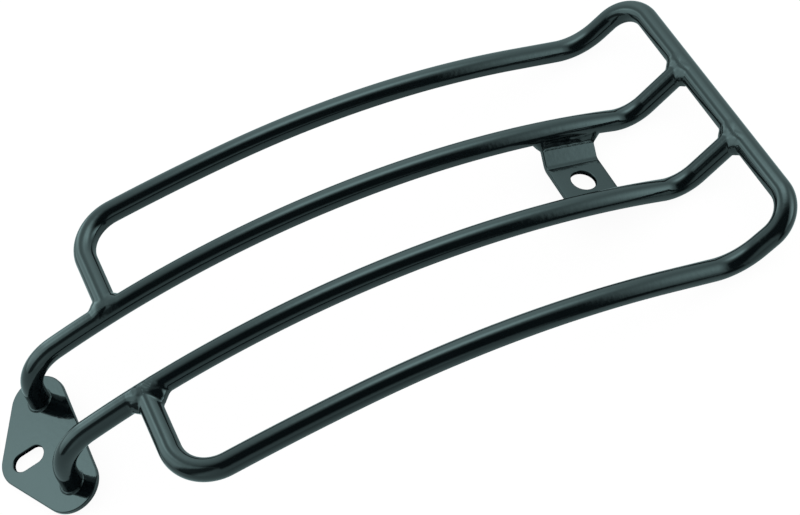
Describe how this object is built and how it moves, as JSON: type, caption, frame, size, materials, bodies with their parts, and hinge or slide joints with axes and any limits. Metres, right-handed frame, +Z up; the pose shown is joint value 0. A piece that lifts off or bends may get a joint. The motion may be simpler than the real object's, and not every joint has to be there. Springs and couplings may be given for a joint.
{
  "type": "motorcycle solo seat luggage rack",
  "caption": "Welded tubular steel luggage rack: a rounded arched hoop crossed by two lengthwise rails, with a slotted front plate and a holed strap bracket to bolt it down.",
  "frame": {"origin": "on the table, under the centre of the bounding box; the rack lies as it rests on a flat table, on the plate's lower front edge and the undersides of the rails' lip bends", "axes": "+X to the rack's right, across the symmetry plane; +Y from the slotted front plate to the raised crossbar at the back, along the longest extent; +Z up from the table"},
  "size_m": [0.205, 0.469, 0.0695],
  "materials": {
    "gloss_paint": "gloss black paint on steel tube and plate",
    "weld_paint": "gloss black paint over weld beads"
  },
  "bodies": {
    "root": {"hoop_tube": "gloss_paint", "left_rail": "gloss_paint", "right_rail": "gloss_paint", "front_plate": "gloss_paint", "rear_bracket": "gloss_paint", "left_hoop_weld": "weld_paint", "right_hoop_weld": "weld_paint", "left_crossbar_weld": "weld_paint", "right_crossbar_weld": "weld_paint", "left_plate_weld": "weld_paint", "right_plate_weld": "weld_paint", "left_bracket_weld": "weld_paint", "right_bracket_weld": "weld_paint"}
  },
  "joints": []
}
